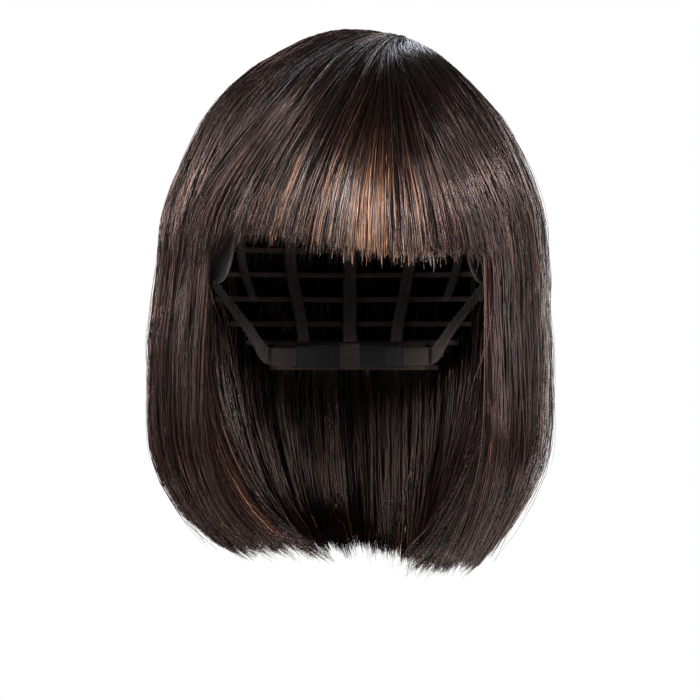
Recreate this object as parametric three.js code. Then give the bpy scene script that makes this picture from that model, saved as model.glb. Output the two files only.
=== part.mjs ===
import * as THREE from "three";

// A chin-length bob wig with a blunt fringe, in the shape it has when it is worn: an open elastic
// cap with overlapping wefts of hair sewn to it, and two touch-fastener adjusters at the nape.
// Millimetres, +Z up, the face opening towards -Y. Left is -X, as seen from in front.
// The origin is the inside of the cap's crown, where the top of the wearer's head rests.

// Head that the cap fits: half an ellipsoid down to the hat line, its widest level
const HEAD_HALF_WIDTH = 75;
const HEAD_HALF_LENGTH = 97;
const DOME_HEIGHT = 95;
const NAPE_TAPER = 0.24; // how much narrower the back of the head is at the nape
const NAPE_DEPTH = 50; // from the hat line down to the nape band

// Crown whorl, where the hair radiates from
const WHORL_X = 21;
const WHORL_Y = 5;
const SKIN_TOP_RADIUS = 13.4;
const WHORL_CLEAR = 14; // the wefts and the net start this far from the whorl

// Hair
const HANG_LENGTH = 157; // from the hat line down to the tips
const HAIR_CLEARANCE = 2.4; // from the head to the hair's inner surface
const CROWN_VOLUME = 12; // from the head to the hair's outer surface at the crown
const RIM_VOLUME_SIDE = 17; // the same at the hat line
const RIM_VOLUME_FRONT = 12.5;
const RIM_VOLUME_BACK = 15;
const SIDE_BULGE = 7.7;
const BACK_BULGE = 5;
const BULGE_DEPTH = 50;
const OUTER_CURL_START = 75; // below the hat line
const OUTER_CURL = 0.0056; // inward curl, mm per mm squared
const INNER_CURL_START = 45;
const INNER_CURL = 0.0048;
const INNER_CURL_BACK = 0.002;
const NAPE_INSET = 18; // the inner wefts follow the head in at the nape
const WEFT_GAP = 0.8;
const SECTION_GAP = 0.45; // half the gap between neighbouring sections of hair
const LIFT_OVER_TRACK = 0.16; // share of the dome in which a weft rises over the track below it

// Cap
const TAPE_THICKNESS = 0.9;
const NET_EDGE_Z = -38;
const FRONT_BAND_Z = -58;
const FRONT_BAND_WIDTH = 12;
const EAR_TAB_BOTTOM_Z = -114;
const EAR_TAB_TOP_Z = -68;
const EAR_TAB_HALF_SPAN = 9.5; // degrees round the head
const EAR_TAB_ROUNDING = 22; // how much higher the tab's lower end is at its edges
const EAR_BAND_Z = -86;
const EAR_BAND_WIDTH = 9;
const RIBBON_WIDTH = 7;
const RIBBON_GAP = 0.8;
const RIBBON_TOP_Z = NET_EDGE_Z - 1.6;

// Degrees from the middle of the front or of the back
const FRONT_BAND_HALF_SPAN = 44;
const FRONT_RIBBON = 28;
const BACK_RIBBON_INNER = 24;
const BACK_RIBBON_OUTER = 47;
const SIDE_RIBBON_REAR = 72;
const SIDE_RIBBON_FRONT = 97;
const EAR_TAB = 123.5;
const EAR_BAND_SPAN = [112, 44]; // from the ear tab to the nape band
const BACK_RIBBON_OUTER_Z = -120;
const SIDE_RIBBON_REAR_Z = -88;

// Nape band and adjusters, all on arcs about one upright axis
const NAPE_CENTRE_Y = 26;
const NAPE_BAND_RADIUS = 47.7;
const NAPE_BAND_HALF_ANGLE = 52;
const NAPE_BAND_Z = -149;
const NAPE_BAND_WIDTH = 14;
const PAD_RADIUS = 46.6;
const PAD_THICKNESS = 0.7;
const PAD_ANGLES = [6, 38];
const PAD_WIDTH = 12;
const TAB_RADIUS = 45.3;
const TAB_ANGLES = [24, 36];
const TAB_WIDTH = 11;
const STRAP_ANGLES = [36.8, 60];
const STRAP_WIDTH = 9.5;

const DEGREE = Math.PI / 180;

const HAIR = { color: 0x241512, roughness: 0.35, metalness: 0 };
const NET = { color: 0x15100f, roughness: 0.9, metalness: 0 };
const ELASTIC = { color: 0x1b1718, roughness: 0.8, metalness: 0 };
const SKIN_TOP = { color: 0xc9a48c, roughness: 0.5, metalness: 0 };
const FASTENER = { color: 0x121212, roughness: 0.7, metalness: 0 };

const wig = new THREE.Group();

function addPiece(name, geometry, finish) {
  const mesh = new THREE.Mesh(geometry, new THREE.MeshStandardMaterial(finish));
  mesh.name = name;
  wig.add(mesh);
  return mesh;
}

const mix = (a, b, t) => a + (b - a) * t;

/** 0 before a, 1 after b, and an S curve between. */
function smooth(a, b, t) {
  const u = Math.min(1, Math.max(0, (t - a) / (b - a)));
  return u * u * (3 - 2 * u);
}

const steps = (count) => Array.from({ length: count + 1 }, (_, i) => i / count);

// ---------------------------------------------------------------- closed shells

/**
 * A closed slab over a grid of columns and rows. pointAt(column, row, side) gives a corner, with side
 * 0 on the inner face and 1 on the outer one. A ring's last column joins its first.
 */
function slab(columns, rows, pointAt, ring = false) {
  const positions = [];
  for (let column = 0; column < columns; column += 1)
    for (let row = 0; row < rows; row += 1)
      for (const side of [0, 1]) positions.push(...pointAt(column, row, side).toArray());
  const corner = (column, row, side) => ((column % columns) * rows + row) * 2 + side;
  const index = [];
  const quad = (a, b, c, d) => index.push(a, b, c, a, c, d);
  const spans = ring ? columns : columns - 1;
  for (let i = 0; i < spans; i += 1) {
    for (let j = 0; j < rows - 1; j += 1) {
      quad(corner(i, j, 1), corner(i, j + 1, 1), corner(i + 1, j + 1, 1), corner(i + 1, j, 1));
      quad(corner(i, j, 0), corner(i + 1, j, 0), corner(i + 1, j + 1, 0), corner(i, j + 1, 0));
    }
    const last = rows - 1;
    quad(corner(i, 0, 0), corner(i, 0, 1), corner(i + 1, 0, 1), corner(i + 1, 0, 0));
    quad(corner(i, last, 0), corner(i + 1, last, 0), corner(i + 1, last, 1), corner(i, last, 1));
  }
  if (!ring) {
    const end = columns - 1;
    for (let j = 0; j < rows - 1; j += 1) {
      quad(corner(0, j, 0), corner(0, j + 1, 0), corner(0, j + 1, 1), corner(0, j, 1));
      quad(corner(end, j, 0), corner(end, j, 1), corner(end, j + 1, 1), corner(end, j + 1, 0));
    }
  }
  const geometry = new THREE.BufferGeometry();
  geometry.setAttribute("position", new THREE.Float32BufferAttribute(positions, 3));
  geometry.setIndex(index);
  return geometry;
}

/** A tape of even width that follows a line of stations, each with a point, a normal and a heading. */
function tape(stations, width, thickness) {
  const pointAt = (edge, station, side) => {
    const { point, normal, heading } = stations[station];
    const across = new THREE.Vector3().crossVectors(heading, normal).normalize();
    return point
      .clone()
      .addScaledVector(across, (0.5 - edge) * width)
      .addScaledVector(normal, side * thickness);
  };
  return slab(2, stations.length, pointAt);
}

/** Stations along a route on the head, given by routeAt(t) for t from 0 to 1. */
function stationsOnHead(routeAt, count) {
  const step = 1e-3;
  return steps(count).map((t) => {
    const [angle, z] = routeAt(t);
    const before = headPoint(...routeAt(t - step));
    const after = headPoint(...routeAt(t + step));
    return {
      point: headPoint(angle, z),
      normal: headNormal(angle, z),
      heading: after.sub(before).normalize(),
    };
  });
}

// ---------------------------------------------------------------- the head inside the cap

/** The head's surface at an angle round it, from +X towards +Y, and a height. */
function headPoint(angle, z) {
  const up = Math.max(0, z + DOME_HEIGHT) / DOME_HEIGHT;
  const below = Math.max(0, -DOME_HEIGHT - z);
  const back = smooth(-0.2, 0.6, Math.sin(angle * DEGREE));
  const scale = Math.sqrt(1 - up * up) * (1 - NAPE_TAPER * smooth(0, NAPE_DEPTH, below) * back);
  return new THREE.Vector3(
    HEAD_HALF_WIDTH * scale * Math.cos(angle * DEGREE),
    HEAD_HALF_LENGTH * scale * Math.sin(angle * DEGREE),
    z,
  );
}

function headNormal(angle, z) {
  const round = headPoint(angle + 0.1, z).sub(headPoint(angle - 0.1, z));
  const rise = headPoint(angle, z + 0.1).sub(headPoint(angle, z - 0.1));
  return round.cross(rise).normalize();
}

/** The upright plane from the whorl to the hat line at an angle round the head. */
function meridian(angle) {
  const x = HEAD_HALF_WIDTH * Math.cos(angle * DEGREE) - WHORL_X;
  const y = HEAD_HALF_LENGTH * Math.sin(angle * DEGREE) - WHORL_Y;
  const length = Math.hypot(x, y);
  return { x: x / length, y: y / length, length };
}

/** The point at a distance from the whorl along a meridian, and raised by offset along its normal. */
function overDome(plane, distance, offset) {
  const x = WHORL_X + plane.x * distance;
  const y = WHORL_Y + plane.y * distance;
  const up = Math.sqrt(Math.max(1e-6, 1 - (x / HEAD_HALF_WIDTH) ** 2 - (y / HEAD_HALF_LENGTH) ** 2));
  const fall = (x * plane.x) / HEAD_HALF_WIDTH ** 2 + (y * plane.y) / HEAD_HALF_LENGTH ** 2;
  const slope = (-DOME_HEIGHT * fall) / up;
  const tilt = Math.hypot(slope, 1);
  const out = (-slope / tilt) * offset;
  const z = DOME_HEIGHT * (up - 1) + offset / tilt;
  return new THREE.Vector3(x + plane.x * out, y + plane.y * out, z);
}

/** How far from the whorl a meridian reaches a height on the dome. */
function distanceAtHeight(plane, z) {
  const up = (z + DOME_HEIGHT) / DOME_HEIGHT;
  const [x, y] = [plane.x / HEAD_HALF_WIDTH, plane.y / HEAD_HALF_LENGTH];
  const [wx, wy] = [WHORL_X / HEAD_HALF_WIDTH, WHORL_Y / HEAD_HALF_LENGTH];
  const a = x * x + y * y;
  const b = x * wx + y * wy;
  const c = wx * wx + wy * wy - (1 - up * up);
  return (-b + Math.sqrt(b * b - a * c)) / a;
}

// ---------------------------------------------------------------- hair
// A place down the hair runs from 0 at the whorl to 1 at the hat line and 2 at the longest tips.

const belowHatLine = (place) => Math.max(0, place - 1) * HANG_LENGTH;
const past = (start, value) => Math.max(0, value - start);

/** From the head to the outside of the hair. */
function outerOffset(angle, place) {
  const side = Math.cos(angle * DEGREE) ** 2;
  const end = Math.sin(angle * DEGREE) < 0 ? RIM_VOLUME_FRONT : RIM_VOLUME_BACK;
  const rim = mix(end, RIM_VOLUME_SIDE, side);
  const depth = belowHatLine(place);
  const bulge = mix(BACK_BULGE, SIDE_BULGE, side) * smooth(0, BULGE_DEPTH, depth);
  const curl = OUTER_CURL * past(OUTER_CURL_START, depth) ** 2;
  return mix(CROWN_VOLUME, rim, smooth(0, 1, place)) + bulge - curl;
}

/** From the head to the inside of the hair: it follows the nape, and curls in towards the neck. */
function innerOffset(angle, place) {
  const depth = belowHatLine(place);
  const back = smooth(0.3, 1, Math.sin(angle * DEGREE));
  const inset = NAPE_INSET * back * smooth(5, NAPE_DEPTH, depth);
  const curl = mix(INNER_CURL, INNER_CURL_BACK, back) * past(INNER_CURL_START, depth) ** 2;
  return HAIR_CLEARANCE - inset - curl;
}

function hairPoint(angle, place, offset, sideways) {
  const plane = meridian(angle);
  const share = Math.sin((Math.min(1, place) * Math.PI) / 2);
  const distance = mix(WHORL_CLEAR, plane.length, share);
  const point = overDome(plane, distance, offset);
  point.z -= belowHatLine(place);
  point.x -= plane.y * sideways;
  point.y += plane.x * sideways;
  return point;
}

/**
 * One weft of a section: the hair of one sewn track, from the track down to its tips. The wefts of a
 * section lie on each other like shingles, and each rises over the tracks below it.
 */
function weft(section, number) {
  const { wefts, from, to, columns } = section;
  const own = wefts[number];
  const below = wefts[number - 1];
  const rows = PLACES.filter((place) => place >= own.track && place <= own.tips);
  const heightIn = (angle, place, share) =>
    mix(innerOffset(angle, place), outerOffset(angle, place), share);
  const lift = (place) => (below ? smooth(below.track - LIFT_OVER_TRACK, below.track, place) : 0);
  const pointAt = (column, row, side) => {
    const angle = mix(from, to, column / columns);
    const place = rows[row];
    const top = (number + 1) / wefts.length;
    const share = side ? top : (lift(place) * number) / wefts.length;
    const shrink = side && number + 1 < wefts.length ? WEFT_GAP : 0;
    const ends = (column === 0 ? 1 : 0) - (column === columns ? 1 : 0);
    return hairPoint(angle, place, heightIn(angle, place, share) - shrink, ends * SECTION_GAP);
  };
  addPiece(own.name, slab(columns + 1, rows.length, pointAt), HAIR);
}

const FRINGE_TIPS = 1.03;
const PLACES = [
  0, 0.15, 0.29, 0.45, 0.56, 0.72, 0.78, 0.94, 1, FRINGE_TIPS, 1.15, 1.3, 1.45, 1.6, 1.7, 1.8, 1.9,
  1.95, 2,
];

const SECTIONS = [
  {
    from: -139.5,
    to: -40.5,
    columns: 11,
    wefts: [
      { name: "fringe_lower_weft", track: 0.72, tips: FRINGE_TIPS },
      { name: "fringe_middle_weft", track: 0.45, tips: FRINGE_TIPS },
      { name: "fringe_crown_weft", track: 0, tips: FRINGE_TIPS },
    ],
  },
  ...["left", "right"].map((side) => ({
    from: side === "left" ? 130.5 : -40.5,
    to: side === "left" ? 220.5 : 49.5,
    columns: 9,
    wefts: [
      { name: side + "_ear_weft", track: 1, tips: 1.8 },
      { name: side + "_temple_weft", track: 0.78, tips: 1.9 },
      { name: side + "_upper_weft", track: 0.45, tips: 1.95 },
      { name: side + "_crown_weft", track: 0, tips: 2 },
    ],
  })),
  {
    from: 49.5,
    to: 130.5,
    columns: 8,
    wefts: [
      { name: "nape_weft", track: 1.3, tips: 1.8 },
      { name: "back_lower_weft", track: 1, tips: 1.9 },
      { name: "back_middle_weft", track: 0.72, tips: 1.95 },
      { name: "back_upper_weft", track: 0.45, tips: 1.95 },
      { name: "back_crown_weft", track: 0, tips: 2 },
    ],
  },
];

for (const section of SECTIONS) section.wefts.forEach((_, number) => weft(section, number));

// ---------------------------------------------------------------- cap

/** A domed patch of false skin at the whorl. */
function skinTop() {
  const sag = (r) => (-r * r) / (2 * HEAD_HALF_WIDTH);
  const radii = steps(3).map((t) => t * SKIN_TOP_RADIUS);
  const inside = radii.map((r) => new THREE.Vector2(r, sag(r)));
  const outside = radii.map((r) => new THREE.Vector2(r, sag(r) + TAPE_THICKNESS));
  const profile = [...inside, ...outside.reverse()];
  const mesh = addPiece("skin_top", new THREE.LatheGeometry(profile, 24), SKIN_TOP);
  const foot = overDome(meridian(0), 0, 0);
  const normal = new THREE.Vector3(
    WHORL_X / HEAD_HALF_WIDTH ** 2,
    WHORL_Y / HEAD_HALF_LENGTH ** 2,
    (foot.z + DOME_HEIGHT) / DOME_HEIGHT ** 2,
  );
  mesh.position.copy(foot);
  mesh.quaternion.setFromUnitVectors(new THREE.Vector3(0, 1, 0), normal.normalize());
}

/** The stretch net over the top of the head, round the skin top. */
function crownNet() {
  const columns = 24;
  const rows = 6;
  const pointAt = (column, row, side) => {
    const plane = meridian((360 * column) / columns);
    const edge = distanceAtHeight(plane, NET_EDGE_Z);
    const distance = mix(WHORL_CLEAR + RIBBON_GAP, edge, row / (rows - 1));
    return overDome(plane, distance, side * TAPE_THICKNESS);
  };
  addPiece("crown_net", slab(columns, rows, pointAt, true), NET);
}

function frontBand() {
  const centre = FRONT_BAND_Z + FRONT_BAND_WIDTH / 2;
  const temples = (t) => -10 * Math.abs(2 * t - 1) ** 3;
  const route = (t) => [-90 + FRONT_BAND_HALF_SPAN * (2 * t - 1), centre + temples(t)];
  const stations = stationsOnHead(route, 16);
  addPiece("front_band", tape(stations, FRONT_BAND_WIDTH, TAPE_THICKNESS), ELASTIC);
}

/** The tab in front of an ear, with a rounded lower end. */
function earTab(name, middle) {
  const columns = 9;
  const rows = 5;
  const pointAt = (column, row, side) => {
    const across = (2 * column) / (columns - 1) - 1;
    const bottom = EAR_TAB_BOTTOM_Z + EAR_TAB_ROUNDING * (1 - Math.sqrt(1 - 0.99 * across ** 2));
    const z = mix(bottom, EAR_TAB_TOP_Z, row / (rows - 1));
    const angle = middle + across * EAR_TAB_HALF_SPAN;
    return headPoint(angle, z).addScaledVector(headNormal(angle, z), side * TAPE_THICKNESS);
  };
  const rising = (column, row, side) => pointAt(column, rows - 1 - row, side);
  addPiece(name, slab(columns, rows, rising), ELASTIC);
}

/** The elastic edge that passes over an ear and down behind it to the nape band. */
function earBand(name, round) {
  const drop = NAPE_BAND_Z - EAR_BAND_Z;
  const route = (t) => [round(mix(...EAR_BAND_SPAN, t)), EAR_BAND_Z + drop * smooth(0.3, 1, t)];
  addPiece(name, tape(stationsOnHead(route, 14), EAR_BAND_WIDTH, TAPE_THICKNESS), ELASTIC);
}

/** An elastic ribbon down the head, which the tracks of the wefts are sewn to. */
function ribbon(name, angle, bottom) {
  const route = (t) => [angle, mix(RIBBON_TOP_Z, bottom, t)];
  addPiece(name, tape(stationsOnHead(route, 7), RIBBON_WIDTH, TAPE_THICKNESS), ELASTIC);
}

/** A band on an arc about the nape's upright axis. Angles run from straight back towards the right. */
function napeArc(name, { radius, thickness = TAPE_THICKNESS, angles, width, spans, finish = ELASTIC }) {
  const [from, to] = angles;
  const pointAt = (column, row, side) => {
    const angle = mix(to, from, column / spans) * DEGREE;
    const r = radius + side * thickness;
    const z = NAPE_BAND_Z + (0.5 - row) * width;
    return new THREE.Vector3(r * Math.sin(angle), NAPE_CENTRE_Y + r * Math.cos(angle), z);
  };
  addPiece(name, slab(spans + 1, 2, pointAt), finish);
}

skinTop();
crownNet();
frontBand();

const napeRibbonEnd = NAPE_BAND_Z + NAPE_BAND_WIDTH / 2 + RIBBON_GAP;
const frontRibbonEnd = FRONT_BAND_Z + FRONT_BAND_WIDTH + RIBBON_GAP;
const frontRibbonDrop = 2.5; // the front band is lower at the temples
ribbon("front_ribbon_centre", -90, frontRibbonEnd);
ribbon("back_ribbon_centre", 90, napeRibbonEnd);

for (const side of ["left", "right"]) {
  const turn = side === "left" ? -1 : 1;
  const round = (degrees) => 90 - turn * degrees;
  const both = (angles) => angles.map((angle) => turn * angle).sort((a, b) => a - b);
  ribbon("front_ribbon_" + side, -90 + turn * FRONT_RIBBON, frontRibbonEnd - frontRibbonDrop);
  ribbon("back_ribbon_inner_" + side, round(BACK_RIBBON_INNER), napeRibbonEnd);
  ribbon("back_ribbon_outer_" + side, round(BACK_RIBBON_OUTER), BACK_RIBBON_OUTER_Z);
  ribbon("side_ribbon_rear_" + side, round(SIDE_RIBBON_REAR), SIDE_RIBBON_REAR_Z);
  const frontEnd = EAR_BAND_Z + EAR_BAND_WIDTH / 2 + RIBBON_GAP;
  ribbon("side_ribbon_front_" + side, round(SIDE_RIBBON_FRONT), frontEnd);
  earTab("ear_tab_" + side, round(EAR_TAB));
  earBand("ear_band_" + side, round);
  napeArc("adjuster_pad_" + side, {
    radius: PAD_RADIUS,
    thickness: PAD_THICKNESS,
    angles: both(PAD_ANGLES),
    width: PAD_WIDTH,
    spans: 8,
    finish: FASTENER,
  });
  napeArc("adjuster_tab_" + side, {
    radius: TAB_RADIUS,
    angles: both(TAB_ANGLES),
    width: TAB_WIDTH,
    spans: 4,
    finish: FASTENER,
  });
  napeArc("adjuster_strap_" + side, {
    radius: TAB_RADIUS,
    angles: both(STRAP_ANGLES),
    width: STRAP_WIDTH,
    spans: 6,
  });
}
napeArc("nape_band", {
  radius: NAPE_BAND_RADIUS,
  angles: [-NAPE_BAND_HALF_ANGLE, NAPE_BAND_HALF_ANGLE],
  width: NAPE_BAND_WIDTH,
  spans: 20,
});

export default wig;
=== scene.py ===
import math

import bpy
import numpy as np
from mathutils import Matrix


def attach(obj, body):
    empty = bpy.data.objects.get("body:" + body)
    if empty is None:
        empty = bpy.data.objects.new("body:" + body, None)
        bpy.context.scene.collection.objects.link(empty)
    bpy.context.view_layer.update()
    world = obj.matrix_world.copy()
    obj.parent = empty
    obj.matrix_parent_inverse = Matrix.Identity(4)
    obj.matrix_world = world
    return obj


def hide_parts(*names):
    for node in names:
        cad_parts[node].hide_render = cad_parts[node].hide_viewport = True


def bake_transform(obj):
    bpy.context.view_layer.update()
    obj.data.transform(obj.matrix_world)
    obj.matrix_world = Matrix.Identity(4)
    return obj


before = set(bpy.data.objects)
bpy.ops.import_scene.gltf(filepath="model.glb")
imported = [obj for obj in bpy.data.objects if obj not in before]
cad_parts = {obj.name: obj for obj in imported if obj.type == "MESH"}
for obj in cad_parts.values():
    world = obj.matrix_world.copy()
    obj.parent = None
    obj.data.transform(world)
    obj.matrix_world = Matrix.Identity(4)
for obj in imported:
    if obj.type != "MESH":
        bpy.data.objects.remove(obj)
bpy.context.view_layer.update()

# A chin-length bob wig, strand by strand, over an open elastic cap. Millimetres until a mesh is made.
MM = 0.001

# The head and the hair's envelope, as in the CAD model
HEAD = np.array([75.0, 97.0, 95.0])  # half width, half length, dome height
NAPE_TAPER = 0.24
NAPE_DEPTH = 50
WHORL = np.array([21.0, 5.0])
WHORL_CLEAR = 14
HANG_LENGTH = 157
HAIR_CLEARANCE = 2.4
CROWN_VOLUME = 12
RIM_VOLUME_SIDE = 17
RIM_VOLUME_FRONT = 12.5
RIM_VOLUME_BACK = 15
SIDE_BULGE = 7.7
BACK_BULGE = 5
BULGE_DEPTH = 50
OUTER_CURL_START = 75
OUTER_CURL = 0.0056
INNER_CURL_START = 45
INNER_CURL = 0.0048
INNER_CURL_BACK = 0.002
NAPE_INSET = 18


# ---- camera
CAMERA_DISTANCE = 2.0  # metres in front of the wig
CAMERA_HEIGHT = -0.1458  # metres, a little below the middle of the hair
SENSOR_WIDTH = 36
LENS = 209.8  # a long lens, because the photo shows almost no perspective


def add_camera():
    data = bpy.data.cameras.new("camera")
    data.sensor_width = SENSOR_WIDTH
    data.lens = LENS
    data.clip_end = 50
    camera = bpy.data.objects.new("camera", data)
    camera.location = (0, -CAMERA_DISTANCE, CAMERA_HEIGHT)
    camera.rotation_euler = (math.pi / 2, 0, 0)
    bpy.context.scene.collection.objects.link(camera)
    bpy.context.scene.camera = camera


add_camera()


# ---- shape of the hair
def mix(a, b, t):
    return a + (b - a) * t


def smooth(a, b, t):
    u = np.clip((t - a) / (b - a), 0, 1)
    return u * u * (3 - 2 * u)


def unit(v):
    return v / np.maximum(np.linalg.norm(v, axis=-1, keepdims=True), 1e-9)


def sine(degrees):
    return np.sin(np.radians(degrees))


def cosine(degrees):
    return np.cos(np.radians(degrees))


def below_hat_line(place):
    return np.maximum(0, place - 1) * HANG_LENGTH


def outer_offset(angle, place):
    """From the head to the outside of the hair."""
    side = cosine(angle) ** 2
    end = np.where(sine(angle) < 0, RIM_VOLUME_FRONT, RIM_VOLUME_BACK)
    depth = below_hat_line(place)
    bulge = mix(BACK_BULGE, SIDE_BULGE, side) * smooth(0, BULGE_DEPTH, depth)
    curl = OUTER_CURL * np.maximum(0, depth - OUTER_CURL_START) ** 2
    return mix(CROWN_VOLUME, mix(end, RIM_VOLUME_SIDE, side), smooth(0, 1, place)) + bulge - curl


def inner_offset(angle, place):
    """From the head to the inside of the hair, which curls in towards the neck."""
    depth = below_hat_line(place)
    back = smooth(0.3, 1, sine(angle))
    inset = NAPE_INSET * back * smooth(5, NAPE_DEPTH, depth)
    curl = mix(INNER_CURL, INNER_CURL_BACK, back) * np.maximum(0, depth - INNER_CURL_START) ** 2
    return HAIR_CLEARANCE - inset - curl


# How the real hair departs from the even envelope, in millimetres
FLAT_LEFT = -4.5  # above the left ear
FULL_RIGHT = 3.0  # round the right ear
CROWN_LEFT, CROWN_RIGHT = -1.2, 0.2
SLIM_SIDES = -2.2  # at the jaw


def hump(first, full, last, gone, place):
    """Rises from 0 to 1 between two places and falls back to 0 between two others."""
    return smooth(first, full, place) * (1 - smooth(last, gone, place))


def trim(angle, place):
    """How far the hair lies outside the even envelope: flatter up on the left, fuller on the right."""
    right = cosine(angle)
    flat = FLAT_LEFT * smooth(0.1, 0.9, -right) * hump(0.1, 0.35, 0.7, 1.0, place)
    full = FULL_RIGHT * smooth(0.3, 0.9, right) * hump(0.6, 0.95, 1.05, 1.25, place)
    crown = mix(CROWN_LEFT, CROWN_RIGHT, smooth(-0.2, 0.8, right)) * (1 - smooth(0.15, 0.4, place))
    slim = SLIM_SIDES * smooth(0.4, 0.9, np.abs(right)) * hump(1.08, 1.25, 1.5, 1.7, place)
    return flat + full + crown + slim


def hair_point(angle, place, offset, sideways=0.0):
    """A point in the hair: place runs from 0 at the whorl to 1 at the hat line and 2 at the tips."""
    angle, place, offset, sideways = np.broadcast_arrays(angle, place, offset, sideways)
    way = np.stack([cosine(angle), sine(angle)], -1) * HEAD[:2] - WHORL
    length = np.linalg.norm(way, axis=-1)
    way = way / length[..., None]
    distance = mix(WHORL_CLEAR, length, np.sin(np.minimum(1, place) * np.pi / 2))
    foot = WHORL + way * distance[..., None]
    up = np.sqrt(np.maximum(1e-6, 1 - ((foot / HEAD[:2]) ** 2).sum(-1)))
    slope = -HEAD[2] * (foot * way / HEAD[:2] ** 2).sum(-1) / up
    tilt = np.hypot(slope, 1)
    out = (-slope / tilt) * offset
    across = np.stack([-way[..., 1], way[..., 0]], -1)
    flat = foot + way * out[..., None] + across * sideways[..., None]
    z = HEAD[2] * (up - 1) + offset / tilt - below_hat_line(place)
    return np.concatenate([flat, z[..., None]], -1)


def place_at_height(angle, offset, z):
    """The place where hair at this angle and offset comes down to a height."""
    grid = np.linspace(0.8, 2.2, 71)
    heights = hair_point(angle[:, None], grid[None], offset[:, None])[..., 2]
    first = np.clip((heights > z[:, None]).sum(1), 1, len(grid) - 1)
    rows = np.arange(len(angle))
    high, low = heights[rows, first - 1], heights[rows, first]
    share = np.clip((high - z) / np.maximum(high - low, 1e-6), 0, 1)
    return mix(grid[first - 1], grid[first], share)


# ---- meshes
def fill(data, key, values, kind=np.float32):
    data.foreach_set(key, np.ascontiguousarray(values, kind).ravel())


def add_mesh(name, co, quads, materials, uv=None, points=None, finish=None):
    """A smooth mesh of quads, from corners in millimetres. finish picks each face's material."""
    mesh = bpy.data.meshes.new(name)
    mesh.vertices.add(len(co))
    fill(mesh.vertices, "co", co * MM)
    mesh.loops.add(quads.size)
    fill(mesh.loops, "vertex_index", quads, np.int32)
    mesh.polygons.add(len(quads))
    fill(mesh.polygons, "loop_start", np.arange(0, quads.size, 4), np.int32)
    mesh.update(calc_edges=True)
    mesh.shade_smooth()
    if uv is not None:
        fill(mesh.uv_layers.new(name=uv[0]).data, "uv", uv[1])
    for key, values in (points or {}).items():
        fill(mesh.attributes.new(key, "FLOAT", "POINT").data, "value", values)
    for material in materials if isinstance(materials, (list, tuple)) else [materials]:
        mesh.materials.append(material)
    if finish is not None:
        fill(mesh.polygons, "material_index", finish, np.int32)
    piece = bpy.data.objects.new(name, mesh)
    bpy.context.scene.collection.objects.link(piece)
    return piece


TAPER_START = 0.86  # share of a strand's length after which it thins out
STRAND_CENTRE = np.array([0.0, 0.0, -70.0])  # what the strands face away from
CELL_MARGIN = 0.08  # share of a strand's cell in the bake's UV map left free on each side


def tube_corners(paths, radius, taper, sides):
    """Corners of thin tubes along paths (strand, point, xyz), as (strand, point, corner, xyz)."""
    count, steps = paths.shape[:2]
    tangent = unit(np.gradient(paths, axis=1))
    outward = unit(paths - STRAND_CENTRE + 1e-3)
    side = unit(np.cross(tangent, outward))
    normal = np.cross(side, tangent)
    along = np.linspace(0, 1, steps)
    thin = mix(1, taper, (along - TAPER_START) / (1 - TAPER_START))
    width = np.broadcast_to(np.asarray(radius), (count,))[:, None]
    width = width * np.where(along > TAPER_START, thin, 1)[None]
    turn = np.arange(sides) * 2 * np.pi / sides
    ring = side[:, :, None] * np.cos(turn)[:, None] + normal[:, :, None] * np.sin(turn)[:, None]
    return paths[:, :, None] + ring * width[:, :, None, None]


def cell_uv(strand, step, corner, count, steps, sides):
    """UV of each face, with a square cell for each strand."""
    cells = math.ceil(math.sqrt(count))
    left, low = strand % cells, strand // cells
    inset = lambda t: CELL_MARGIN + (1 - 2 * CELL_MARGIN) * t
    u0, u1 = inset(corner / sides), inset((corner + 1) / sides)
    v0, v1 = inset(step / (steps - 1)), inset((step + 1) / (steps - 1))
    corners = ((u0, v0), (u0, v1), (u1, v1), (u1, v0))
    return np.stack([np.stack([left + u, low + v], -1) for u, v in corners], -2) / cells


def add_strands(name, paths, radius, materials, tone, taper=0.3, sides=3, finish=None):
    """Thin tubes along paths (strand, point, xyz), each with its own cell of the bake's UV map."""
    count, steps = paths.shape[:2]
    co = tube_corners(paths, radius, taper, sides)
    strand, step, corner = np.meshgrid(
        np.arange(count), np.arange(steps - 1), np.arange(sides), indexing="ij"
    )
    after = (corner + 1) % sides
    at = lambda k, c: (strand * steps + k) * sides + c
    quads = np.stack([at(step, corner), at(step + 1, corner), at(step + 1, after), at(step, after)], -1)
    uv = cell_uv(strand, step, corner, count, steps, sides)
    tones = np.broadcast_to(tone[:, :, None], (count, steps, sides))
    if finish is not None:
        finish = np.broadcast_to(finish[:, None, None], strand.shape)
    shape = co.reshape(-1, 3), quads.reshape(-1, 4)
    return add_mesh(name, *shape, materials, ("OFBake", uv.reshape(-1, 2)), {"tone": tones}, finish)


# ---- materials
def new_material(name):
    material = bpy.data.materials.new(name)
    material.use_nodes = True
    tree = material.node_tree
    return material, tree, tree.nodes["Principled BSDF"]


def ramp_node(tree, source, stops):
    node = tree.nodes.new("ShaderNodeValToRGB")
    ramp = node.color_ramp
    while len(ramp.elements) < len(stops):
        ramp.elements.new(0.5)
    for element, (position, color) in zip(ramp.elements, stops):
        element.position = position
        element.color = (*color, 1)
    tree.links.new(source, node.inputs["Fac"])
    return node.outputs["Color"]


def math_node(tree, operation, first, second):
    node = tree.nodes.new("ShaderNodeMath")
    node.operation = operation
    for socket, value in zip(node.inputs, (first, second)):
        if isinstance(value, (int, float)):
            socket.default_value = value
        else:
            tree.links.new(value, socket)
    return node.outputs[0]


def noise_node(tree, vector, scale, detail=2):
    noise = tree.nodes.new("ShaderNodeTexNoise")
    noise.inputs["Scale"].default_value = scale
    noise.inputs["Detail"].default_value = detail
    tree.links.new(vector, noise.inputs["Vector"])
    return noise.outputs["Fac"]


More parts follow.
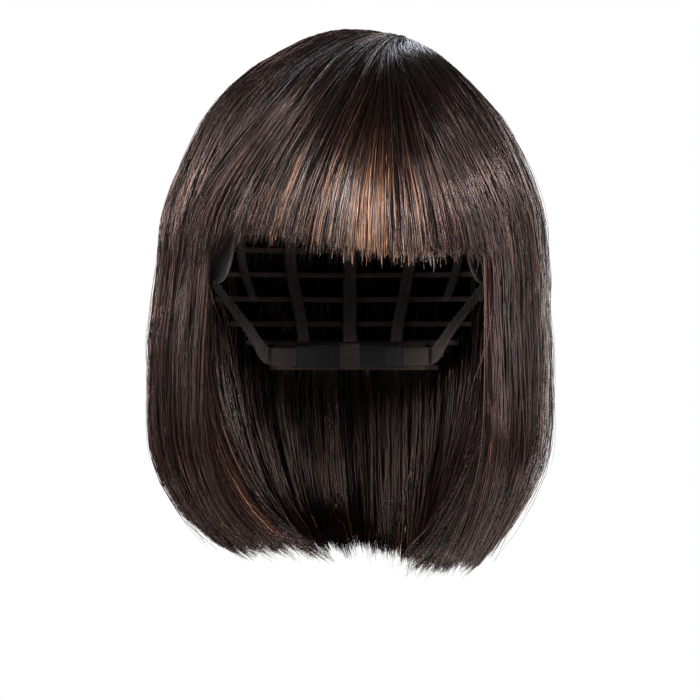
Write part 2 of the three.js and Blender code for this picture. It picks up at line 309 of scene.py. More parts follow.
def coordinates(tree, kind="Object"):
    return tree.nodes.new("ShaderNodeTexCoord").outputs[kind]


def split_xyz(tree, vector):
    split = tree.nodes.new("ShaderNodeSeparateXYZ")
    tree.links.new(vector, split.inputs[0])
    return split.outputs


def add_bump(tree, shader, height, strength, distance):
    """Relief on a material. distance is in millimetres."""
    bump = tree.nodes.new("ShaderNodeBump")
    bump.inputs["Strength"].default_value = strength
    bump.inputs["Distance"].default_value = distance * MM
    tree.links.new(height, bump.inputs["Height"])
    tree.links.new(bump.outputs["Normal"], shader.inputs["Normal"])


def paint(tree, shader, color, roughness):
    tree.links.new(color, shader.inputs["Base Color"])
    shader.inputs["Roughness"].default_value = roughness


def hair_material(name, roughness, gloss, tint):
    """Synthetic fibre: nearly black in itself, and coloured where it catches the light."""
    material, tree, shader = new_material(name)
    tone = tree.nodes.new("ShaderNodeAttribute")
    tone.attribute_name = "tone"
    noise = noise_node(tree, coordinates(tree), 45, 3)
    uneven = math_node(tree, "MULTIPLY_ADD", noise, 0.16)
    uneven.node.inputs[2].default_value = -0.08
    value = math_node(tree, "ADD", tone.outputs["Fac"], uneven)
    color = ramp_node(
        tree,
        value,
        [
            (0.0, (0.0020, 0.0013, 0.0012)),
            (0.35, (0.0048, 0.0025, 0.0023)),
            (0.6, (0.0180, 0.0072, 0.0058)),
            (0.8, (0.0460, 0.0165, 0.0110)),
            (1.0, (0.5600, 0.2600, 0.1400)),
        ],
    )
    paint(tree, shader, color, roughness)
    shader.inputs["IOR"].default_value = 1.6
    shader.inputs["Specular IOR Level"].default_value = gloss
    shader.inputs["Specular Tint"].default_value = (*tint, 1)
    return material


# Neighbouring strands differ in finish, so that the light breaks up into streaks
HAIR = [
    hair_material("hair_glossy", 0.22, 0.80, (1.0, 0.80, 0.76)),
    hair_material("hair_dull", 0.42, 0.07, (1.0, 0.85, 0.80)),
    hair_material("hair_reddish", 0.24, 1.0, (1.0, 0.62, 0.54)),
    hair_material("hair_copper", 0.30, 1.0, (1.0, 0.60, 0.38)),
]
GLOSSY, DULL, REDDISH, COPPER = range(4)


# ---- hair of the wefts
FACE_RIGHT, BACK_RIGHT, BACK_LEFT, FACE_LEFT = -40.5, 49.5, 130.5, 220.5  # borders of the four sections


def wefts(section, **rows):
    """The wefts of a section from the lowest up, each with the place where it is sewn on: 0 is the whorl."""
    return {section + "_" + name + "_weft": place for name, place in rows.items()}


SIDE_ROWS = {"ear": 1, "temple": 0.78, "upper": 0.45, "crown": 0}
BACK_WEFTS = {"nape_weft": 1.3, **wefts("back", lower=1, middle=0.72, upper=0.45, crown=0)}
SECTIONS = {
    "fringe": (FACE_LEFT - 360, FACE_RIGHT, wefts("fringe", lower=0.72, middle=0.45, crown=0)),
    "left_hair": (BACK_LEFT, FACE_LEFT, wefts("left", **SIDE_ROWS)),
    "right_hair": (FACE_RIGHT, BACK_RIGHT, wefts("right", **SIDE_ROWS)),
    "back_hair": (BACK_RIGHT, BACK_LEFT, BACK_WEFTS),
}
# Degrees that hair may pass its section's first and last border
SPILL = {"fringe": (3.5, 3.5), "left_hair": (4, 1), "right_hair": (1, 4), "back_hair": (4, 4)}
AT_WHORL = (0,)  # the rows of a weft that isn't sewn to a track
LIFT_OVER_TRACK = 0.16  # how far above a lower weft's track hair begins to rise over it
STRAND_RADIUS, LOOSE_RADIUS = 0.2, 0.11
STRAND_SCALE = 150  # millimetres of hair for a step of 1 in place
SWEEP = 36  # degrees that hair in front fans out for each step of 1 in place, down to the hat line
FRINGE_STAND_OFF = 5  # millimetres that the tips of the fringe stand off the brow
SWEEP_MIDDLE = -78  # the angle that it fans out from

# The cap's bands that hair is sewn to, as in the CAD model
EAR_BAND_Z = -86
NAPE_BAND_Z = -149.0
NAPE_AXIS_Y = 26.0
EAR_BAND_SPAN = (112, 44)


def ear_band_half_span(place):
    """How far from straight back the ear bands are at the height of a place below the hat line."""
    share = np.clip((-HEAD[2] - below_hat_line(place) - EAR_BAND_Z) / (NAPE_BAND_Z - EAR_BAND_Z), 0, 1)
    grid = np.linspace(0, 1, 60)
    return mix(*EAR_BAND_SPAN, np.interp(share, smooth(0.3, 1, grid), grid)) - 3


# Locks, and the wider bands of locks that hang together
STRANDS_IN_LOCK = 14
FEWEST_LOCKS = 8
BANDS = 10
ROOT_SHADE_TONE = 0.33  # how light a strand may be in the painted shade near its root
TOP_ROOT = 0.94  # where hair is rooted that would fall beyond the ear bands
TRACK_DEPTH = 0.7  # millimetres that a root lies inside the hair's inner face
SKIN_OFFSET = 1.0  # millimetres between the head and a root at the whorl
UNDER_START = 122  # millimetres below the hat line where the ends on the left turn further under
UNDER_TURN = 0.012
CROWN_BLEND, LOW_BLEND = 110, 75  # millimetres of height between the top and the bottom worked out for crown wefts and for lower wefts
FRINGE_BLEND_END = -95  # the lowest that the fringe's bottom may be
FRINGE_BLEND = 25  # the least height between the fringe's top and bottom

# The cut of the fringe as seen from in front: highest left of the middle, and low at both corners
FRINGE_EDGE_X = [-84, -70, -62, -50, -18, 14, 60, 70, 78]
FRINGE_EDGE_Z = [-108, -103, -91.5, -88.5, -94.5, -100, -99, -103, -108]

# Unevenness of the tips: millimetres from strand to strand and from lock to lock, and then the share of
# strands that are longer or shorter than the rest, with the least and the most that they are
FRINGE_CUT = (0.8, 1.3, (0.07, 1, 7), (0.22, 1, 14))
BOB_CUT = (0.9, 3.0, (0.04, 1, 5), (0.35, 0, 24))
BOB_Z = -241.5
LONGER_RIGHT = 6.5
SHORTER_FRONT = 4


def uneven_cut(rng, z, drop, each, locks, longer, shorter):
    """Heights of tips that are cut at z, moved by each one's lock and unevenly."""
    count = len(z)
    z = z + rng.normal(0, each, count) + drop * locks
    z = z - np.where(rng.random(count) < longer[0], rng.uniform(*longer[1:], count), 0)
    return z + np.where(rng.random(count) < shorter[0], rng.uniform(*shorter[1:], count), 0)


def fringe_edge(rng, angle, offset, drop):
    """Tips of the fringe: a blunt cut that drops towards the right, with wisps."""
    x = hair_point(angle, 1.0, offset)[..., 0]
    z = uneven_cut(rng, np.interp(x, FRINGE_EDGE_X, FRINGE_EDGE_Z), drop, *FRINGE_CUT)
    return place_at_height(angle, offset, z)


def bob_edge(rng, angle, _, drop):
    """Tips of the bob: an even cut a little longer on the right."""
    right = smooth(-0.2, 0.7, cosine(angle))
    front = smooth(0.1, 0.65, -sine(angle))
    z = uneven_cut(rng, BOB_Z - LONGER_RIGHT * right + SHORTER_FRONT * front, drop, *BOB_CUT)
    return 1 + (-HEAD[2] - z) / HANG_LENGTH


def swept(angle, place):
    """Angles nearer the middle of the front at the crown, so that the hair fans out to both sides."""
    front = smooth(0.0, 0.5, -sine(angle))
    ahead = 0.5 * (1 - place + np.sqrt((1 - place) ** 2 + 0.01))
    return angle - SWEEP * sine(2 * (angle - SWEEP_MIDDLE)) * front * ahead


def waves(rng, group, distance, slopes, lengths):
    """Waves along each strand, the same for the strands of a group, from their slopes and wavelengths."""
    groups = int(group.max()) + 1
    length = rng.uniform(*lengths, groups)[group][:, None]
    slope = rng.uniform(*slopes, groups)[group][:, None]
    phase = rng.uniform(0, 2 * np.pi, groups)[group][:, None]
    return slope * length / (2 * np.pi) * np.sin(2 * np.pi * distance / length + phase)


def turned_back(value, low, high):
    """Values beyond a border turned back inside it."""
    value = np.where(value > high, 2 * high - value, value)
    value = np.where(value < low, 2 * low - value, value)
    return np.clip(value, low, high)


# How light strands are, and the share of each kind. Copper ones are most frequent in the fringe's middle
PLAIN_TONE, PLAIN_SPREAD = 0.25, 0.13
REDDISH_TONES, REDDISH_SHARE = (0.5, 0.85), 0.27
COPPER_TONES, COPPER_SHARE, COPPER_ELSEWHERE = (0.78, 1.0), 0.9, 0.01
LOCK_SPREAD = 0.12
# The share of a strand's length where the painted shade near its root ends and its own colour shows
COPPER_SHADE_ENDS, FRINGE_SHADE_ENDS, BOB_SHADE_ENDS = (0.55, 0.78), (0.4, 0.62), (0.1, 0.4)


def strand_colors(rng, body, lock, x, s):
    """How light each point of a strand is, from dark brown to copper, with painted shade near the root, and
    each strand's finish.
    """
    count, locks = len(x), lock.max() + 1
    tone = PLAIN_TONE + rng.normal(0, LOCK_SPREAD, locks)[lock] + rng.normal(0, PLAIN_SPREAD, count)
    finish = np.where(rng.random(count) < 0.5 + rng.normal(0, 0.3, locks)[lock], GLOSSY, DULL)
    reddish = rng.random(count) < REDDISH_SHARE + rng.normal(0, LOCK_SPREAD, locks)[lock]
    tone = np.where(reddish, rng.uniform(*REDDISH_TONES, count), tone)
    finish = np.where(reddish, REDDISH, finish)
    copper_chance = np.full(count, COPPER_ELSEWHERE)
    if body == "fringe":
        middle = np.exp(-(((x - 10) / 18) ** 2)) + 0.3 * np.exp(-(((x + 30) / 20) ** 2))
        copper_chance = COPPER_SHARE * middle * (rng.uniform(0, 1, locks) ** 2)[lock]
    copper = rng.random(count) < copper_chance
    tone = np.where(copper, rng.uniform(*COPPER_TONES, count), tone)
    finish = np.where(copper, COPPER, finish)
    shade_span = FRINGE_SHADE_ENDS if body == "fringe" else BOB_SHADE_ENDS
    shade_end = np.where(copper, rng.uniform(*COPPER_SHADE_ENDS, count), rng.uniform(*shade_span, count))[:, None]
    # Painted shade: light strands are held dark near the root, so their reddish and copper colour shows only
    # lower down
    out_of_shade = smooth(shade_end, shade_end + 0.2, s)
    tone = mix(np.minimum(tone, ROOT_SHADE_TONE)[:, None], tone[:, None], out_of_shade)
    return tone, finish


def blend_down(piece):
    """Hair whose placement is baked into its mesh."""
    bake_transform(piece)


def plan_locks(rng, start, stop, count):
    """Each strand's lock and band, its lock's drop, gathering and middle, and its distance from there."""
    locks = max(FEWEST_LOCKS, int(count / STRANDS_IN_LOCK))
    centre = rng.uniform(start, stop, locks)
    spread = (stop - start) / locks * rng.uniform(0.5, 1.5, locks)
    lock = rng.integers(0, locks, count)
    band = (centre + rng.normal(0, 1.5, locks) - start) / (stop - start) * BANDS
    band = np.clip(band.astype(int), 0, BANDS - 1)[lock]
    drop = 0.75 * rng.normal(0, 1, locks)[lock] + 0.65 * rng.normal(0, 1, BANDS)[band]
    pull = rng.uniform(0.15, 0.85, locks)[lock][:, None]
    away = rng.normal(0, 1.0, count) * spread[lock]
    return locks, lock, band, drop, pull, centre[lock][:, None], away[:, None]


def plan_depths(rng, locks, lock, gather, layer):
    """Where each strand lies between the inside (0) and the outside (1) of its weft."""
    lock_depth = rng.uniform(0, 1, locks)[lock][:, None]
    depth = rng.uniform(0, 1, len(lock))[:, None]
    if layer[1] >= 1:
        depth = 1 - depth**1.35
        lock_depth = 1 - 0.6 * lock_depth
    return mix(*layer, np.clip(mix(depth, lock_depth, 0.55 * gather), 0, 1))


def kept_in_section(body, angle, s, set_back):
    """Angles held inside a section. The fringe opens at its corners, the sides stand back from the face."""
    start, stop, _ = SECTIONS[body]
    angle = turned_back(angle, start - SPILL[body][0], stop + SPILL[body][1])
    if body == "fringe":
        corner = smooth(25, 50, np.abs(angle + 90)) * np.sign(angle + 90)
        angle = angle + corner * np.where(angle < -90, 10, 3) * smooth(0.55, 1, s)
    if body == "left_hair":
        angle = start + (angle - start) * (1 - set_back / (stop - start))
    if body == "right_hair":
        angle = stop - (stop - angle) * (1 - set_back / (stop - start))
    return angle


def choose_roots(rng, angle, rows):
    """Where strands are rooted: on the sewn rows, or round the whorl where the weft has none."""
    count = len(angle)
    root = np.asarray(rows, float)[rng.integers(0, len(rows), count)]
    off_band = (root >= 1) & (np.abs(angle - 90) > ear_band_half_span(root))
    root = np.where(off_band, TOP_ROOT, root)
    if rows == AT_WHORL:
        root = -0.06 - 0.14 * rng.random(count) ** 0.7
    return root


def lies_at(body, weft, angle, place, root, share_in):
    """Share of the hair's thickness, and distance from the head, of hair that lies over lower wefts."""
    rows = SECTIONS[body][2]
    names = list(rows)
    number = names.index(weft)
    from_crown = rows[weft] == 0
    low_share = 0.0
    if number:
        below = rows[names[number - 1]]
        low_share = smooth(below - LIFT_OVER_TRACK, below, place) * number / len(rows)
    share = mix(low_share, (number + 1) / len(rows), share_in)
    offset = mix(inner_offset(angle, place), outer_offset(angle, place), share)
    at_root = smooth(root, root + (0.16 if from_crown else 0.1), place)
    offset = mix(SKIN_OFFSET if from_crown else inner_offset(angle, place) - TRACK_DEPTH, offset, at_root)
    return share, offset


def ripples(rng, lock, band, distance):
    """Waves of strands away from the head and back: slight, and shared by locks and bands."""
    own = np.arange(len(lock))
    ripple = waves(rng, band, distance, (0.015, 0.045), (70, 150))
    ripple = ripple + waves(rng, lock, distance, (0.01, 0.04), (80, 200))
    return ripple + waves(rng, own, distance, (0.0, 0.03), (80, 200))


def hung(body, offset, angle, place):
    """Offsets of hair whose ends on the left turn further under and whose fringe stands off the brow."""
    if body == "fringe":
        stand_off = smooth(0.5, 1.05, place) * sine(-angle) ** 2
        offset = offset + FRINGE_STAND_OFF * stand_off
    under = UNDER_TURN * np.maximum(0, below_hat_line(place) - UNDER_START) ** 2
    return offset - under * smooth(-0.3, 0.5, -cosine(angle))


def lay_hair(name, body, weft, count, steps, seed, rows=AT_WHORL, layer=(0.0, 1.0), stray=0.02, set_back=0):
    """The hair of one weft, or part of it. layer is its share of the weft's thickness, inside to outside."""
    rng = np.random.default_rng(seed)
    start, stop, places = SECTIONS[body]
    from_crown = places[weft] == 0
    locks, lock, band, drop, pull, centre, away = plan_locks(rng, start, stop, count)
    s = np.linspace(0, 1, steps)[None]
    gather = pull * smooth(0.25, 1, s)
    share_in = plan_depths(rng, locks, lock, gather, layer)
    angle = kept_in_section(body, centre + away * (1 - gather), s, set_back)

    root = choose_roots(rng, angle[:, 0], rows)[:, None]
    edge = fringe_edge if body == "fringe" else bob_edge
    tip = edge(rng, angle[:, -1], outer_offset(angle[:, -1], 1.0) * 0.9, drop)[:, None]
    place = mix(root, tip, s)
    distance = (place - root) * STRAND_SCALE
    angle = swept(angle, place)
    share, offset = lies_at(body, weft, angle, place, root, share_in)

    free = smooth(0.02, 0.35, s)
    sideways = waves(rng, lock, distance, (0.01, 0.055), (100, 260)) * free
    sideways = sideways + waves(rng, np.arange(count), distance, (0.005, 0.04), (80, 220)) * free
    offset = offset + ripples(rng, lock, band, distance) * free + trim(angle, place) * share
    offset = hung(body, offset, angle, place)
    if from_crown:
        whorl = rng.uniform(1, 9, count)[:, None] * (1 - smooth(root, root + 0.4, place))
        sideways = sideways + whorl
    loose = rng.random(count) < stray
    sideways = sideways + (rng.normal(0, 7, count) * loose)[:, None] * s**1.6
    offset = offset + (loose * rng.uniform(0.2, 2.6, count))[:, None] * smooth(0.1, 0.6, s)
    paths = hair_point(angle, place, offset, sideways)

    tone, finish = strand_colors(rng, body, lock, paths[:, -1, 0], s)
    size = STRAND_RADIUS * rng.uniform(0.7, 1.35, count)
    piece = add_strands(name, paths, size, HAIR, tone, finish=finish)
    top = -2 if from_crown else float(hair_point(0.5 * (start + stop), places[weft], 5)[2])
    bottom = top - (CROWN_BLEND if from_crown else LOW_BLEND)
    if body == "fringe":
        bottom = max(bottom, FRINGE_BLEND_END)
        top = max(top, bottom + FRINGE_BLEND)
    blend_down(piece)
    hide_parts(weft)


def lay_loose_hair(name, count, seed, angles, places, reach, inside):
    """Single hairs that stray from the inside or the outside of a section."""
    rng = np.random.default_rng(seed)
    s = np.linspace(0, 1, 18)[None]
    column = lambda low, high: rng.uniform(low, high, count)[:, None]
    root = column(*places)
    place = mix(root, np.minimum(root + column(0.3, 0.8), 1.93), s)
    angle = column(*angles)
    bow = column(0.25, 1) * reach * np.sin(np.pi * s ** column(0.6, 1.2)) + column(0, 0.5) * reach * s
    if inside:
        offset = inner_offset(angle, place) - bow
    else:
        offset = outer_offset(angle, place) + trim(angle, place) + bow
    sideways = rng.normal(0, 9, count)[:, None] * s**1.5
    paths = hair_point(angle, place, offset, sideways)
    tone = np.broadcast_to(column(0.25, 0.7), (count, s.size))
    piece = add_strands(name, paths, LOOSE_RADIUS, HAIR, tone, finish=np.full(count, GLOSSY))
    blend_down(piece)


UPPER_ROWS = (0.45, 0.54, 0.63)
SIDE_UPPER_ROWS = (*UPPER_ROWS, 0.72)
FRONT_ROWS = (0.675, 0.72)
TEMPLE_ROWS = (0.80, 0.88, 0.94)
MIDDLE_ROWS = (0.72, *TEMPLE_ROWS)
EAR_ROWS = (1, 1.08)
LOW_ROWS = (*EAR_ROWS, 1.16, 1.24)
NAPE_ROWS = (1.3, 1.34, 1.38)

# Wefts under the crown: body, strands, points of each, seed, rows, and degrees back from the face
LOWER_WEFTS = {
    "fringe_lower": ("fringe", 1100, 11, 11, FRONT_ROWS, 0),
    "fringe_middle": ("fringe", 1500, 13, 12, UPPER_ROWS, 0),
    "left_ear": ("left_hair", 900, 14, 20, EAR_ROWS, 8),
    "left_temple": ("left_hair", 1000, 16, 21, TEMPLE_ROWS, 6),
    "left_upper": ("left_hair", 1300, 18, 22, SIDE_UPPER_ROWS, 3),
    "right_ear": ("right_hair", 900, 14, 30, EAR_ROWS, 8),
    "right_temple": ("right_hair", 1000, 16, 31, TEMPLE_ROWS, 6),
    "right_upper": ("right_hair", 1300, 18, 32, SIDE_UPPER_ROWS, 3),
    "nape": ("back_hair", 1000, 10, 40, NAPE_ROWS, 0),
    "back_lower": ("back_hair", 1000, 13, 41, LOW_ROWS, 0),
    "back_middle": ("back_hair", 1000, 15, 42, MIDDLE_ROWS, 0),
    "back_upper": ("back_hair", 1200, 18, 43, UPPER_ROWS, 0),
}
for name, (body, *plan, set_back) in LOWER_WEFTS.items():
    lay_hair(name + "_hair", body, name + "_weft", *plan, set_back=set_back)
for body, seed in {"fringe": 13, "left_hair": 23, "right_hair": 33, "back_hair": 44}.items():
    section = body.removesuffix("_hair")
    count, steps = (2050, 17) if body == "fringe" else (1500, 23)
    weft = section + "_crown_weft"
    lay_hair(section + "_crown_hair", body, weft, count, steps, seed)
    top, outer = section + "_top_hair", section + "_outer_hair"
    lay_hair(top, body, weft, count, steps, seed + 1, layer=(0.6, 1), stray=0.03)
    lay_hair(outer, body, weft, count, steps, seed + 2, layer=(0.7, 1), stray=0.05)
lay_loose_hair("left_loose_hair", 30, 61, (200, 219), (0.9, 1.3), 12, inside=True)
lay_loose_hair("right_loose_hair", 18, 62, (-39, -20), (0.9, 1.3), 9, inside=True)
lay_loose_hair("left_flyaway_hair", 120, 63, (132, 219), (0.3, 1.4), 2.8, inside=False)
lay_loose_hair("right_flyaway_hair", 120, 64, (-39, 48), (0.3, 1.4), 2.8, inside=False)


# ---- cap
def head_point(angle, z):
    angle, z = np.broadcast_arrays(np.asarray(angle, float), np.asarray(z, float))
    up = np.maximum(0, z + HEAD[2]) / HEAD[2]
    below = np.maximum(0, -HEAD[2] - z)
    back = smooth(-0.2, 0.6, sine(angle))
    scale = np.sqrt(1 - up**2) * (1 - NAPE_TAPER * smooth(0, NAPE_DEPTH, below) * back)
    return np.stack([HEAD[0] * scale * cosine(angle), HEAD[1] * scale * sine(angle), z], -1)


def head_normal(angle, z):
    across = head_point(np.asarray(angle) + 0.1, z) - head_point(np.asarray(angle) - 0.1, z)
    rise = head_point(angle, np.asarray(z) + 0.1) - head_point(angle, np.asarray(z) - 0.1)
    return unit(np.cross(across, rise))


def fabric_material(name, dark, light, warp, weft, depth=0.4, roughness=(0.6, 0.9)):
    """A knitted or woven fabric whose threads are spaced warp and weft, in millimetres of the weave map."""
    material, tree, shader = new_material(name)
    uv = tree.nodes.new("ShaderNodeUVMap")
    uv.uv_map = "weave"
    across = split_xyz(tree, uv.outputs["UV"])
    waves = []
    for axis, spacing in (("X", warp), ("Y", weft)):
        turned = math_node(tree, "MULTIPLY", across[axis], 2 * math.pi / spacing)
        waves.append(math_node(tree, "SINE", turned, 0.0))
    woven = math_node(tree, "MULTIPLY", *waves)
    height = math_node(tree, "MULTIPLY_ADD", woven, 0.3)
    tree.links.new(noise_node(tree, uv.outputs["UV"], 1.7, 5), height.node.inputs[2])
    color = ramp_node(tree, height, [(0.2, dark), (0.85, light)])
    tree.links.new(color, shader.inputs["Base Color"])
    rough = tree.nodes.new("ShaderNodeMapRange")
    rough.inputs["To Min"].default_value, rough.inputs["To Max"].default_value = roughness
    tree.links.new(height, rough.inputs["Value"])
    tree.links.new(rough.outputs["Result"], shader.inputs["Roughness"])
    add_bump(tree, shader, height, 0.8, depth)
    shader.inputs["Sheen Weight"].default_value = 0.25
    return material


def thread_material(name, dark, light, roughness):
    """Spun thread, uneven along its length, for strands that have no weave map."""
    material, tree, shader = new_material(name)
    noise = noise_node(tree, coordinates(tree), 1400, 3)
    color = ramp_node(tree, noise, [(0.35, dark), (0.65, light)])
    paint(tree, shader, color, roughness)
    shader.inputs["Sheen Weight"].default_value = 0.2
    return material


ELASTIC = fabric_material("elastic_ribbon", (0.045, 0.029, 0.025), (0.15, 0.104, 0.09), 1.1, 0.7)
BINDING = fabric_material("knit_binding", (0.055, 0.036, 0.030), (0.18, 0.125, 0.105), 0.8, 1.0)
TRACK = fabric_material("sewn_track", (0.030, 0.018, 0.015), (0.12, 0.075, 0.062), 0.9, 0.8, 0.5)
THREAD = thread_material("sewing_thread", (0.10, 0.070, 0.060), (0.30, 0.22, 0.19), 0.5)
PIPING = thread_material("edge_piping", (0.045, 0.030, 0.026), (0.150, 0.105, 0.090), 0.75)
PILE = thread_material("pile_thread", (0.020, 0.018, 0.020), (0.110, 0.100, 0.104), 0.8)
LOOPS = fabric_material(
    "loop_pile", (0.016, 0.015, 0.016), (0.085, 0.078, 0.080), 0.55, 0.6, 0.6, (0.8, 0.95)
)
HOOKS = fabric_material(
    "hook_tape", (0.014, 0.013, 0.014), (0.070, 0.065, 0.068), 1.0, 1.0, 0.6, (0.4, 0.6)
)
FELT = fabric_material(
    "tab_fabric", (0.004, 0.003, 0.003), (0.016, 0.010, 0.009), 0.6, 0.6, 0.5, (0.85, 0.98)
)

# Millimetres, as in the CAD model unless a line says otherwise
BAND_THICKNESS = 0.9
BAND_RIDGES = 0.16  # share of the thickness
STITCH_LIFTS = (-0.08, 0.98)  # thread just outside the two faces of a band
STITCH_MARGIN = 1.3
THREAD_RADIUS = 0.17


def add_slab(name, face, normal, thickness, material, across, along, ridges=0.0):
    """A closed fabric slab over a grid of points (along, across, xyz), softly rounded at its long edges."""
    rows, columns = face.shape[:2]
    t = np.linspace(-1, 1, columns)
    rounded = np.sqrt(np.clip(1 - np.abs(t) ** 8, 0, 1))
    profile = thickness * (0.5 + 0.5 * rounded - ridges * (0.5 + 0.5 * np.cos(t * np.pi * 3)) * rounded)
    low = thickness * 0.5 * (1 - rounded)
    top = face + normal * profile[None, :, None]
    bottom = face + normal * low[None, :, None]
    co = np.concatenate([bottom, top[:, ::-1]], 1)
    around = 2 * columns
    i, j = np.meshgrid(np.arange(rows - 1), np.arange(around), indexing="ij")
    after = (j + 1) % around
    row, next_row = i * around, (i + 1) * around
    wall = np.stack([row + j, row + after, next_row + after, next_row + j], -1)
    k = np.arange(columns - 1)
    near = np.stack([k, around - 1 - k, around - 2 - k, k + 1], -1)
    far = (near + (rows - 1) * around)[:, ::-1]
    quads = np.concatenate([wall.reshape(-1, 4), near, far])
    u = np.concatenate([t * across / 2, (t * across / 2)[::-1]])
    v = np.linspace(0, along, rows)
    weave = np.stack(np.broadcast_arrays(u[None], v[:, None]), -1).reshape(-1, 2)
    quads = quads[:, ::-1]
    return add_mesh(name, co.reshape(-1, 3), quads, material, ("weave", weave[quads]))


def add_band(name, points, normals, width, thickness, material, ridges=0.0, columns=13):
    heading = unit(np.gradient(points, axis=0))
    side = unit(np.cross(heading, normals))
    t = np.linspace(-0.5, 0.5, columns) * width
    face = points[:, None] + side[:, None] * t[None, :, None]
    along = float(np.linalg.norm(np.diff(points, axis=0), axis=1).sum())
    return add_slab(name, face, normals[:, None], thickness, material, width, along, ridges)


def zigzag(points, normals, shift, swing, pitch, lift):
    """A zigzag stitch along a band, at a distance from its middle."""
    length = np.concatenate([[0], np.cumsum(np.linalg.norm(np.diff(points, axis=0), axis=1))])
    count = max(4, int(length[-1] / pitch))
    at = np.linspace(0, length[-1], count)
    resample = lambda v: np.stack([np.interp(at, length, v[:, k]) for k in range(3)], -1)
    middle, normal = resample(points), unit(resample(normals))
    side = unit(np.cross(unit(np.gradient(middle, axis=0)), normal))
    turn = np.where(np.arange(count) % 2, 1.0, -1.0)[:, None]
    return middle + side * (shift + turn * swing) + normal * lift


def resampled(line, steps):
    share, old = np.linspace(0, 1, steps), np.linspace(0, 1, len(line))
    return np.stack([np.interp(share, old, line[:, k]) for k in range(3)], -1)


def add_stitches(name, lines):
    steps = max(len(line) for line in lines)
    paths = np.stack([resampled(line, steps) for line in lines])
    tone = np.full((len(lines), steps), 0.5)
    piece = add_strands(name, paths, THREAD_RADIUS, THREAD, tone, taper=1.0, sides=4)
    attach(piece, "cap")


def finish_piece(piece, node, body="cap"):
    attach(piece, body)
    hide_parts(node)


def over_head(angles, heights):
    return head_point(angles, heights), head_normal(angles, heights)


def sew_band(name, node, points, normals, width, material, slot, swing=0.7):
    """A cap band with a zigzag stitch along both edges, on both faces."""
    band = add_band(name, points, normals, width, BAND_THICKNESS, material, BAND_RIDGES)
    finish_piece(band, node)
    edge = width / 2 - STITCH_MARGIN
    both_faces = [(turn * edge, lift) for turn in (-1, 1) for lift in STITCH_LIFTS]
    lines = [zigzag(points, normals, shift, swing, 1.5, lift) for shift, lift in both_faces]
    add_stitches(name + "_stitches", lines)


BAND_POINTS = 90
FRONT_BAND_Z = -52
FRONT_BAND_SPAN = 44  # degrees to each side of straight ahead
FRONT_BAND_DROP = 10
NAPE_BAND_RADIUS = 47.7
NAPE_BAND_HALF = 52  # degrees to each side of straight back
RIBBON_TOP_Z = -39.6
RIBBON_POINTS = 50
LOOP_PAD_RADIUS = 46.6
HOOK_TAB_RADIUS = 45.3


def sew_front_band():
    across = 2 * np.linspace(0, 1, BAND_POINTS) - 1
    heights = FRONT_BAND_Z - FRONT_BAND_DROP * np.abs(across) ** 3
    line = over_head(-90 + FRONT_BAND_SPAN * across, heights)
    sew_band("front_elastic", "front_band", *line, 12, BINDING, "cap_band")


def nape_arc(radius, angles, count):
    """Points and normals on an arc about the nape's upright axis, with angles from straight back."""
    a = np.radians(np.linspace(*angles, count))
    normal = np.stack([np.sin(a), np.cos(a), np.zeros(count)], -1)
    return np.array([0, NAPE_AXIS_Y, NAPE_BAND_Z]) + normal * radius, normal


def sew_nape_band():
    line = nape_arc(NAPE_BAND_RADIUS, (-NAPE_BAND_HALF, NAPE_BAND_HALF), 70)
    sew_band("nape_elastic", "nape_band", *line, 14, BINDING, "cap_band")


def sew_ribbons():
    """Elastic ribbons from the net down to the bands: the angle of each, and where it ends."""
    ribbons = {"front_ribbon_centre": (-90, -45.2), "back_ribbon_centre": (90, -141.2)}
    for side, turn in (("left", -1), ("right", 1)):
        ribbons["front_ribbon_" + side] = (-90 + turn * 28, -47.7)
        ribbons["back_ribbon_inner_" + side] = (90 - turn * 24, -141.2)
        ribbons["back_ribbon_outer_" + side] = (90 - turn * 47, -120)
        ribbons["side_ribbon_rear_" + side] = (90 - turn * 72, -88)
        ribbons["side_ribbon_front_" + side] = (90 - turn * 97, -80.7)
    for node, (angle, bottom) in ribbons.items():
        heights = np.linspace(RIBBON_TOP_Z, bottom, RIBBON_POINTS)
        line = over_head(np.full(RIBBON_POINTS, angle), heights)
        sew_band(node.replace("ribbon", "elastic"), node, *line, 7, ELASTIC, "elastic", 0.5)


def sew_ear_band(side, turn):
    t = np.linspace(0, 1, BAND_POINTS)
    heights = EAR_BAND_Z + (NAPE_BAND_Z - EAR_BAND_Z) * smooth(0.3, 1, t)
    line = over_head(90 - turn * mix(*EAR_BAND_SPAN, t), heights)
    sew_band("ear_elastic_" + side, "ear_band_" + side, *line, 9, ELASTIC, "elastic")


TAB_TOP_Z = -68
TAB_BOTTOM_Z = -114
TAB_ROUNDING = 22
TAB_ANGLE = 123.5  # degrees from straight back
TAB_HALF_SPAN = 9.5  # degrees


def sew_ear_tab(side, turn):
    """A felt tab with a round lower end, bound and stitched along its edge."""
    across = np.linspace(-1, 1, 33)[None]
    up = np.linspace(0, 1, 30)[:, None]
    bottom = TAB_BOTTOM_Z + TAB_ROUNDING * (1 - np.sqrt(1 - 0.99 * across**2))
    heights = mix(bottom, TAB_TOP_Z, up)
    angles = np.broadcast_to(90 - turn * TAB_ANGLE - turn * across * TAB_HALF_SPAN, heights.shape)
    face, normal = over_head(angles, heights)
    tab = add_slab("ear_patch_" + side, face, normal, BAND_THICKNESS, FELT, 27, 40)
    finish_piece(tab, "ear_tab_" + side)
    rim, rim_normal = (np.concatenate([v[::-1, 0], v[0], v[:, -1]]) for v in (face, normal))
    centre = face[15, 16]
    edge = (mix(rim, centre, 0.03) + rim_normal * 0.45)[None]
    tone = np.full((1, len(rim)), 0.5)
    name = "ear_patch_binding_" + side
    binding = add_strands(name, edge, 0.8, PIPING, tone, taper=1.0, sides=8)
    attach(binding, "cap")
    lines = [mix(rim, centre, 0.09) + rim_normal * lift for lift in STITCH_LIFTS]
    add_stitches("ear_patch_stitches_" + side, lines)


